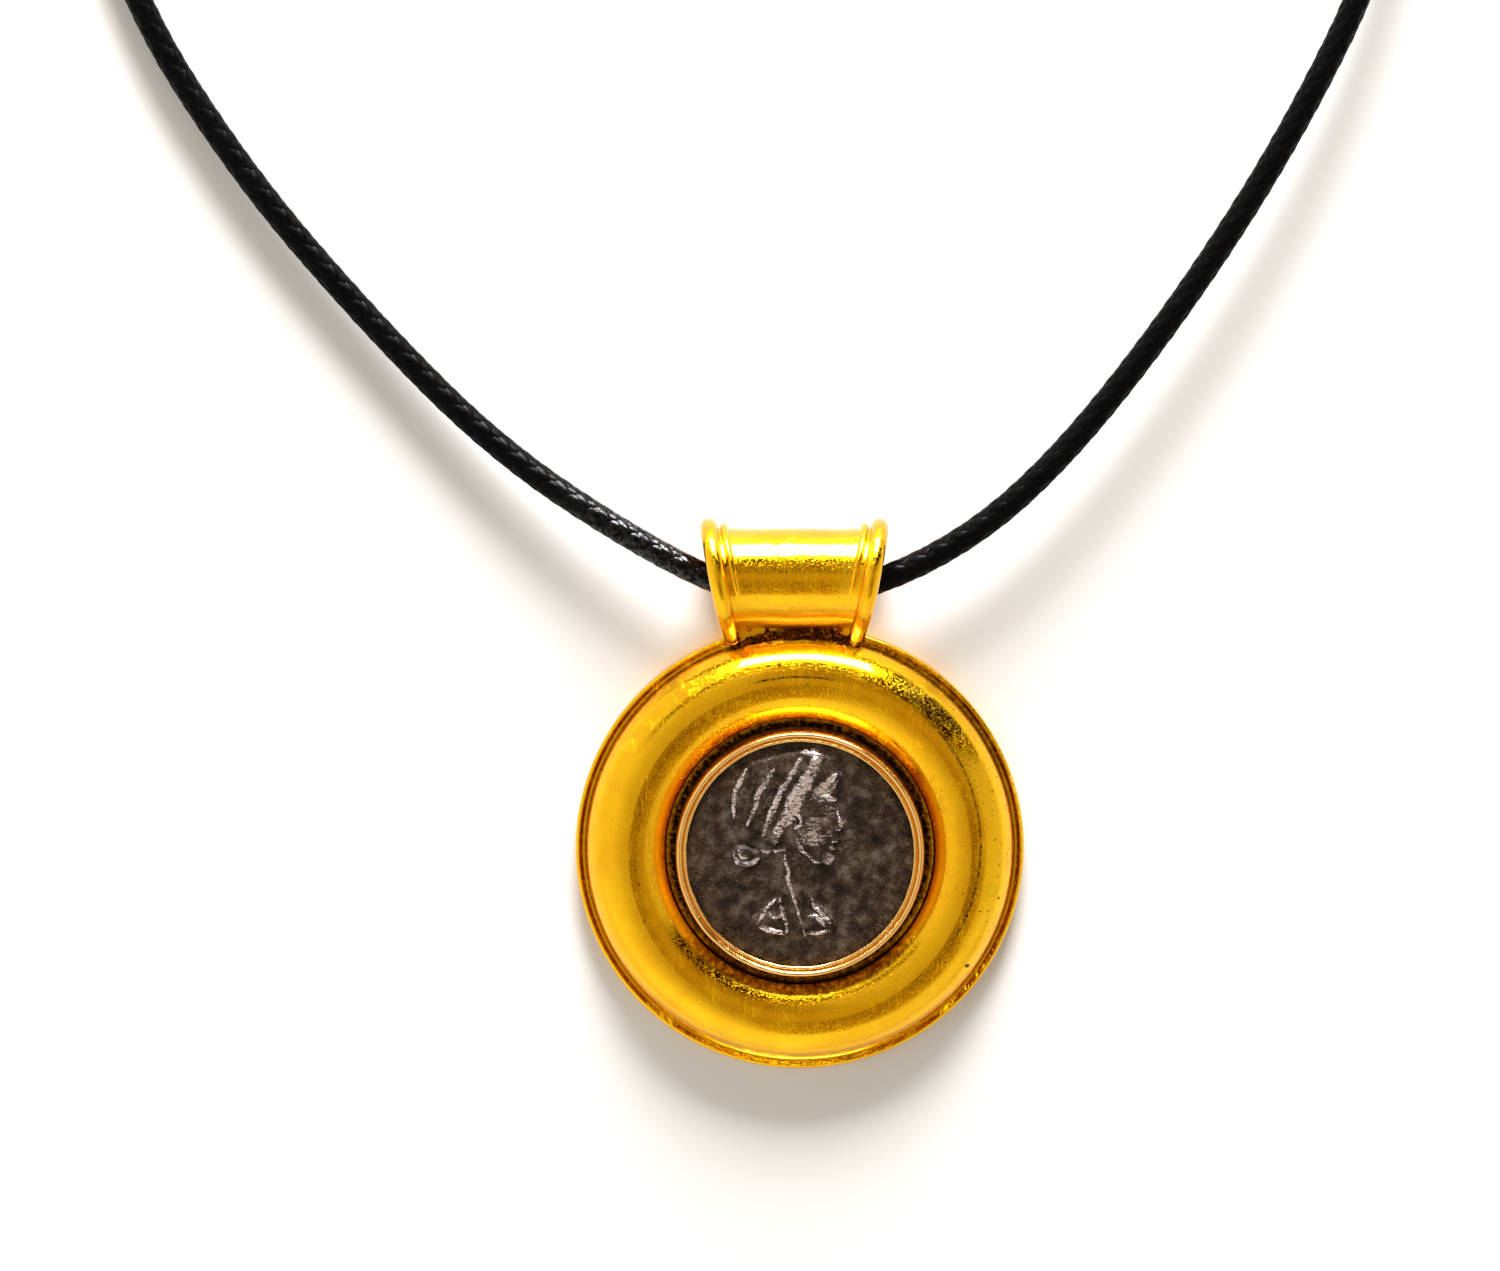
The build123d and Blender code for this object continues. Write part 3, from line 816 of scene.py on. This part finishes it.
def gold_surface(g, place, base, deep, tarnish_and_painted_shade, dirt, grain, shine=(0.05, 0.12), redder=0.0, satin=0.0):
    """Polished gold with orange peel, grain, pits and hairline scratches, and with tarnish and painted shade
    where the masks say.
    """
    blotch = g.steps(g.noise(place, 0.35, 4), 0.35, 0.75)
    colour = g.mix(g.most(g.times(blotch, 0.5), redder), base, deep)
    grime = g.steps(g.noise(place, 2.3, 5, 0.65), 0.3, 0.72, 0.7, 1.2)
    tarnish_and_shade_depth = g.times(tarnish_and_painted_shade, grime)
    # Orange, brown and near-black stages, for tarnish and for painted shade and dark reflections alike
    colour = g.mix(g.steps(tarnish_and_shade_depth, 0.0, 0.42), colour, ORANGE)
    colour = g.mix(g.steps(tarnish_and_shade_depth, 0.34, 0.7), colour, BROWN)
    colour = g.mix(g.steps(tarnish_and_shade_depth, 0.64, 1.0), colour, BLACK_TARNISH_AND_SHADE)
    sparkle = g.times(g.steps(g.noise(place, 5.2, 2, 0.7), 0.68, 0.71), g.steps(tarnish_and_shade_depth, 0.4, 0.7))
    colour = g.mix(sparkle, colour, base)
    limit = g.minus(0.74, g.times(dirt, 0.11))
    pits = g.steps(g.minus(g.noise(place, 3.4, 3, 0.6), limit), 0.0, 0.02)
    colour = g.mix(pits, colour, PIT_BROWN)
    rough = g.steps(g.noise(place, 1.1, 4, 0.6), 0.3, 0.7, *shine)
    rough = g.plus(rough, g.times(g.steps(tarnish_and_shade_depth, 0.2, 0.9), 0.3), g.times(pits, 0.35), satin)
    coat = g.steps(tarnish_and_shade_depth, 0.15, 0.6, 0.45, 0.0)
    normal = g.bump(g.noise(place, 4.5, 4, 0.62), 0.009)
    normal = g.bump(g.noise(place, 13.0, 2, 0.6), 0.0035, normal)
    dents = g.times(g.steps(g.noise(place, 6.5, 3, 0.6), 0.5, 0.72, 1.0, 0.0), grain)
    normal = g.bump(dents, 0.02, normal)
    for turn, stretch, seed in SCRATCHES:
        turned = g.add("ShaderNodeMapping", {
            0: place,
            "Location": (seed, seed, 0.0),
            "Rotation": (0.0, 0.0, turn),
            "Scale": (1.0, stretch, 0.3),
        })
        off = g.absolute(g.minus(g.noise(turned, 2.6, 2, 0.5), 0.5))
        scratch = g.times(g.steps(off, 0.0, 0.006, 1.0, 0.0), g.steps(g.noise(place, 0.5, 2), 0.48, 0.58))
        normal = g.bump(g.times(scratch, -1.0), 0.006, normal)
    normal = g.bump(g.times(pits, -1.0), 0.02, normal)
    sockets = {"Base Color": colour, "Roughness": rough, "Normal": normal, "Coat Weight": coat}
    g.surface(sockets, Metallic=1.0, Coat_Roughness=0.06)


def ring_stains_and_dark_reflections(g, place, radial, px, py, right):
    """Stain spots, and painted dark reflections as streaks and the slanted dark patch on the ring, from 0 to
    1.
    """
    stain_and_dark_reflection = g.times(right, 0.12, g.steps(radial, 14.5, 16.8))
    ragged = g.times(g.minus(g.noise(place, 3.0, 4, 0.7), 0.5), 0.6)
    for x, y, size, depth in STAINS:
        spot = g.separate(g.vector("SUBTRACT", place, (x, y, 0.0)))
        spot = g.plus(g.radius(spot[0], spot[1]), g.times(ragged, size))
        stain_and_dark_reflection = g.most(stain_and_dark_reflection, g.steps(spot, 0.3 * size, size, depth, 0.0))
    turn = g.angle(px, py)
    granular = g.steps(g.noise(place, 4.2, 4, 0.75), 0.42, 0.56, 0.45, 1.0)
    # Streaks of painted dark reflection along the ring
    for start, end, first, last, width, depth in DARK_REFLECTION_STREAKS:
        off = g.absolute(g.minus(radial, g.linear(turn, start, end, first, last)))
        across = g.steps(g.plus(off, g.times(ragged, width)), 0.3 * width, width, depth, 0.0)
        along = g.band(turn, (start, start + STREAK_FADE), (end - STREAK_FADE, end))
        stain_and_dark_reflection = g.most(stain_and_dark_reflection, g.times(across, along, granular))
    # Slanted, granular dark patch at the ring's upper right: a painted dark reflection
    slant = g.plus(turn, g.times(g.minus(16.7, radial), 7.6))
    patch = g.times(g.steps(slant, 53.5, 57.0, 1.0, 0.0), g.steps(turn, 20.0, 40.0, 0.0, 0.95))
    patch = g.times(patch, g.band(radial, (15.2, 15.6), (16.5, 16.9)))
    return g.most(stain_and_dark_reflection, g.times(patch, granular))


def ring_tarnish_and_shade(g, radial, px, py):
    """Tarnish of the well round the collar, blackest at its floor by the collar as painted shade, and of the
    groove inside the rim, from 0 to 1.
    """
    # The well is darkened further out on the ring's lower side
    low = g.steps(py, -2.0, -10.0)
    well = g.most(g.linear(radial, 11.4, 10.5), g.times(low, g.steps(radial, 11.75, 12.3, 0.72, 0.0)))
    groove = g.band(radial, (17.5, 17.56), (17.6, 17.7), 0.75)
    dirty_rim = g.times(g.steps(py, 2.0, 8.0), g.steps(px, 2.0, 5.0))
    dirty_rim = g.times(dirty_rim, g.band(radial, (17.2, 17.5), (17.9, 18.2), 0.6))
    return g.most(well, groove, dirty_rim)


def yellow_gold():
    """The frame's gold, with tarnish, painted shade and painted dark reflections by place on the ring and
    the bail.
    """
    material, g = new_material("yellow_gold")
    place = g.millimetres()
    px, py, pz = g.separate(place)
    radial = g.radius(px, py)
    disc = g.steps(radial, 18.38, 18.6, 1.0, 0.0)
    right = g.steps(px, 6.0, 17.0)
    stains_and_dark_reflections = ring_stains_and_dark_reflections(g, place, radial, px, py, right)
    on_ring = g.times(g.most(ring_tarnish_and_shade(g, radial, px, py), stains_and_dark_reflections), disc)

    # Dark, granular solder and painted crevice shade between the bail's foot and the frame, darkest low down
    from_middle = g.minus(px, BAIL_X)
    arch = g.plus(radial, g.times(from_middle, from_middle, ARCH_BEND))
    near_bail = g.times(
        g.steps(radial, 17.2, 17.4),
        g.steps(arch, 18.1, 18.6, 1.0, 0.0),
        g.steps(g.absolute(from_middle), 5.0, 6.6, 1.0, 0.0),
        g.steps(pz, 2.0, 2.7, 0.95, 0.0),
        g.steps(py, 15.0, 16.5),
    )
    # Satin, orange skirt below the bail's tube, and a dark speckled line across the tube: a painted dark
    # reflection below the tube's highlight
    middle = g.steps(g.absolute(from_middle), 4.7, 5.2, 1.0, 0.0)
    skirt = g.times(middle, g.band(py, (17.9, 18.3), (20.0, 21.6)), g.steps(pz, 2.0, 2.6))
    dark_reflection_speckle = g.times(middle, g.band(py, (23.3, 23.7), (24.1, 24.6)))
    dark_reflection_speckle = g.times(dark_reflection_speckle, g.steps(g.noise(place, 5.0, 4, 0.75), 0.46, 0.58, 0.0, 0.66))

    tarnish_and_painted_shade = g.most(on_ring, near_bail, dark_reflection_speckle, g.times(skirt, 0.22))
    dirt = g.times(g.most(tarnish_and_painted_shade, right), 0.8)
    upper = g.times(g.steps(py, 2.0, 9.0), g.steps(px, -9.0, 6.0, 0.35, 1.0))
    grain = g.most(g.times(upper, 0.55), near_bail, 0.42)
    redder = g.times(g.steps(radial, 12.2, 13.8, 0.3, 0.0), disc)
    satin = g.times(skirt, 0.26)
    gold_surface(g, place, GOLD, DEEP_GOLD, tarnish_and_painted_shade, dirt, grain, redder=redder, satin=satin)
    return material


def brown_solder_and_crevice_shade():
    # Dark brown lumpy solder; its near-black stop also paints the crevice's shade below the bail
    material, g = new_material("brown_solder_and_crevice_shade")
    place = g.millimetres()
    lump = g.noise(place, 3.6, 4, 0.7)
    stops = [(0.34, (0.025, 0.009, 0.003)), (0.52, (0.13, 0.05, 0.008)), (0.7, (0.5, 0.23, 0.02))]
    normal = g.bump(g.noise(place, 6.0, 4, 0.7), 0.04)
    rough = g.steps(lump, 0.4, 0.7, 0.5, 0.22)
    g.surface({"Base Color": g.ramp(lump, stops), "Roughness": rough, "Normal": normal}, Metallic=1.0)
    return material


def bezel_gold():
    """The collar's redder gold, darker towards its foot."""
    material, g = new_material("bezel_gold")
    place = g.millimetres()
    low = g.steps(g.separate(place)[2], 2.6, 4.3, 0.7, 0.0)
    gold_surface(g, place, COLLAR_GOLD, DEEP_COLLAR_GOLD, low, low, 0.15, shine=(0.14, 0.28))
    return material


def clasp_gold():
    """The clasp's gold, with a faint tarnish in its two waists."""
    material, g = new_material("clasp_gold")
    place = g.millimetres()
    from_middle = g.absolute(g.plus(g.separate(place)[0], 4.5))
    seam = g.band(from_middle, (3.2, 3.35), (3.85, 4.0), 0.6)
    gold_surface(g, place, GOLD, DEEP_GOLD, seam, seam, 0.2)
    return material


def dark_silver():
    """Toned silver, worn bright on the relief's high places and dirty towards the edge."""
    material, g = new_material("dark_silver")
    place = g.millimetres()
    px, py, _ = g.separate(place)
    radial = g.radius(px, py)
    worn = g.point_value("worn")
    grain = g.noise(place, 6.0, 4, 0.7)
    toned = g.plus(g.times(g.noise(place, 0.9, 5, 0.6), 0.6), g.times(grain, 0.4))
    stops = [(0.37, (0.012, 0.008, 0.005)), (0.5, (0.050, 0.034, 0.024)), (0.63, (0.14, 0.11, 0.085))]
    dirty = g.times(g.steps(radial, 6.6, 9.0), g.steps(g.noise(place, 5.0, 4, 0.7), 0.5, 0.66), 0.8)
    colour = g.mix(dirty, g.ramp(toned, stops), COIN_DIRT)
    combed = g.add("ShaderNodeMapping", {
        0: place,
        "Rotation": (0.0, 0.0, math.radians(-64)),
        "Scale": (0.3, 1.2, 1.0),
    })
    streaky = g.plus(g.times(g.noise(combed, 5.0, 4, 0.75), 0.5), g.times(g.noise(place, 5.5, 5, 0.78), 0.5))
    mottle = g.steps(streaky, 0.41, 0.58, 0.05, 1.45)
    shine = g.times(g.steps(g.times(worn, mottle), 0.2, 0.66), g.steps(radial, 9.2, 8.6))
    flecks = g.steps(g.noise(place, 7.5, 2, 0.7), 0.72, 0.76, 0.0, 0.7)
    shine = g.most(shine, g.times(flecks, g.steps(radial, 9.2, 8.9)))
    normal = g.bump(g.noise(place, 14.0, 3, 0.6), 0.014, g.bump(grain, 0.045))
    g.surface({
        "Base Color": g.mix(shine, colour, WORN_SILVER),
        "Roughness": g.steps(shine, 0.0, 1.0, 0.42, 0.22),
        "Normal": normal,
        "Metallic": g.steps(shine, 0.0, 0.5, 0.6, 1.0),
    })
    return material


def waxed_cord():
    """Black waxed strands, darker in the joints, and on the strands that wind one way as painted shade, with
    glossy wax left of the bail.
    """
    material, g = new_material("waxed_cord")
    place = g.millimetres()
    joint_and_strand_shade = g.point_value("joint_and_strand_shade")
    stops = [(0.3, (0.002, 0.002, 0.0022)), (0.7, (0.005, 0.0047, 0.0047))]
    colour = g.mix(joint_and_strand_shade, g.ramp(g.noise(place, 0.6, 3), stops), JOINT_AND_SHADE_BLACK)
    wax = g.noise(place, 2.6, 5, 0.7)
    rough = g.plus(g.steps(wax, 0.35, 0.65, 0.24, 0.36), g.times(joint_and_strand_shade, 0.3))
    px, py, _ = g.separate(place)
    near_bail = g.times(g.band(px, (-22.0, -13.0), (-8.0, -6.0)), g.steps(py, 60.0, 50.0))
    glaze = g.times(near_bail, g.steps(wax, 0.42, 0.56))
    normal = g.bump(wax, 0.009, g.bump(g.noise(place, 7.0, 3, 0.6), 0.008))
    sockets = {"Base Color": colour, "Roughness": rough, "Normal": normal, "Coat Weight": glaze}
    g.surface(sockets, Specular_IOR_Level=0.11, Coat_Roughness=0.12)
    return material


dress(nodes["medallion_frame"], yellow_gold())
dress(crust, brown_solder_and_crevice_shade())
dress(bezel, bezel_gold())
dress(nodes["clasp"], clasp_gold())
dress(coin, dark_silver())
dress(cord, waxed_cord())

# floor

FLOOR_SIZE = 6.0
FLOOR_COLOUR = (0.76, 0.735, 0.70)

bpy.ops.mesh.primitive_plane_add(size=FLOOR_SIZE, location=(0.0, 0.0, 0.0))
floor = bpy.context.object
floor.name = "floor"
paper, g = new_material("paper_white")
shader = g.add("ShaderNodeBsdfDiffuse", {"Color": FLOOR_COLOUR})
g.add("ShaderNodeOutputMaterial", {"Surface": shader})
floor.data.materials.append(paper)

# world

TENT_TOP = (0.66, 0.63, 0.57)
TENT_SIDE = (0.98, 0.97, 0.94)
FRONT_PANEL = (1.22, 1.24, 1.24)
ROOM = [(0.38, 0.30, 0.19), (0.54, 0.44, 0.32), (0.40, 0.30, 0.2)]
TENT_EDGE = (0.05, 0.04, 0.025)
TENT_CORNER = (0.02, 0.016, 0.01)
LENS_SPOT = (0.16, 0.12, 0.07)


def white_tent():
    """White tent round the object, with the dark opening, edges and lens that the gold reflects."""
    world = bpy.data.worlds.new("white_tent")
    world.use_nodes = True
    g = Graph(world.node_tree)
    dx, dy, dz = g.separate(g.add("ShaderNodeTexCoord").outputs["Generated"])
    ax = g.angle(dx, dz)
    ay = g.angle(g.times(dy, -1.0), dz)
    fall = g.angle(g.radius(dx, dy), dz)
    turn = g.angle(dx, dy)
    rise = g.minus(90.0, fall)

    def window(value, low, high, soft):
        """1 between two angles, fading over a soft edge at each."""
        return g.band(value, (low - soft, low + soft), (high - soft, high + soft))

    light = g.mix(g.steps(fall, 14.0, 50.0), TENT_TOP, TENT_SIDE)
    light = g.mix(g.times(g.steps(ay, 41.0, 48.0), window(ax, -75.0, 75.0, 10.0)), light, FRONT_PANEL)
    light = g.mix(g.steps(ax, 8.0, 24.0, 0.0, 0.2), light, (0.0, 0.0, 0.0))
    room = g.mix(g.steps(ay, -13.0, -8.0), ROOM[0], ROOM[1])
    room = g.mix(g.steps(ay, 6.0, 18.0), room, ROOM[2])
    light = g.mix(g.times(window(ax, -5.0, 38.0, 3.0), window(ay, -43.0, 43.0, 2.0)), light, room)
    light = g.mix(g.times(window(turn, -62.0, 45.0, 4.0), window(rise, 42.0, 50.0, 1.0)), light, TENT_EDGE)
    light = g.mix(g.times(window(turn, 25.0, 70.0, 3.0), window(rise, 4.0, 57.0, 3.0)), light, TENT_CORNER)
    off_lens = g.combine(g.minus(ax, 12.0), g.minus(ay, 14.0))
    off_lens = g.vector("DIVIDE", off_lens, (13.0, 13.0, 1.0))
    off_lens = g.add("ShaderNodeVectorMath", {0: off_lens}, operation="LENGTH").outputs["Value"]
    light = g.mix(g.steps(off_lens, 0.3, 1.2, 0.72, 0.0), light, LENS_SPOT)
    background = g.add("ShaderNodeBackground", {"Color": light, "Strength": 1.0})
    g.add("ShaderNodeOutputWorld", {"Surface": background})
    return world


scene.world = white_tent()

# lamps

LAMP_DISTANCE = 0.6
# Turn from the bail and rise above the floor in degrees, width and height in metres, radiance and colour
LAMPS = {
    "key": (6.0, 17.5, 0.46, 0.355, 24.0, (1.0, 1.0, 1.04)),
    "key_on_frame": (2.5, 17.5, 0.46, 0.355, 22.0, (0.97, 1.0, 2.2)),
    "key_on_floor": (3.0, 19.5, 0.24, 0.2, 72.0, (1.0, 1.0, 1.04)),
}


def soft_lamp(name):
    """Area lamp beyond the bail that faces the middle of the disc."""
    turn, rise, width, height, radiance, colour = LAMPS[name]
    turn, rise = math.radians(turn), math.radians(rise)
    data = bpy.data.lights.new(name, "AREA")
    data.shape = "RECTANGLE"
    data.size, data.size_y = width, height
    data.energy = radiance * math.pi * width * height
    data.color = colour
    lamp = new_object(name, data)
    flat = math.cos(rise)
    place = LAMP_DISTANCE * Vector((math.sin(turn) * flat, math.cos(turn) * flat, math.sin(rise)))
    lamp.location = place
    lamp.rotation_euler = (-place).to_track_quat("-Z", "Y").to_euler()
    return lamp


def linked(name, objects, state):
    """Group that a lamp's light or shading takes in, or leaves out."""
    group = bpy.data.collections.new(name)
    for obj in objects:
        group.objects.link(obj)
    for entry in group.collection_objects:
        entry.light_linking.link_state = state
    return group


pendant = nodes["medallion_frame"]
lamp = soft_lamp("key")
lamp.light_linking.receiver_collection = linked("key_lights", [pendant, floor], "EXCLUDE")
lamp = soft_lamp("key_on_frame")
lamp.light_linking.receiver_collection = linked("key_on_frame_lights", [pendant], "INCLUDE")
lamp.light_linking.blocker_collection = linked("key_on_frame_shading", [pendant], "EXCLUDE")
lamp = soft_lamp("key_on_floor")
lamp.light_linking.receiver_collection = linked("key_on_floor_lights", [floor], "INCLUDE")

# picture's contrast

CONTRAST_CURVE = [(0.02, 0.0095), (0.05, 0.034), (0.1, 0.088), (0.4, 0.4)]

scene.view_settings.view_transform = "Standard"
scene.view_settings.look = "None"
scene.view_settings.use_curve_mapping = True
curves = scene.view_settings.curve_mapping
for point in CONTRAST_CURVE:
    curves.curves[3].points.new(*point)
curves.update()
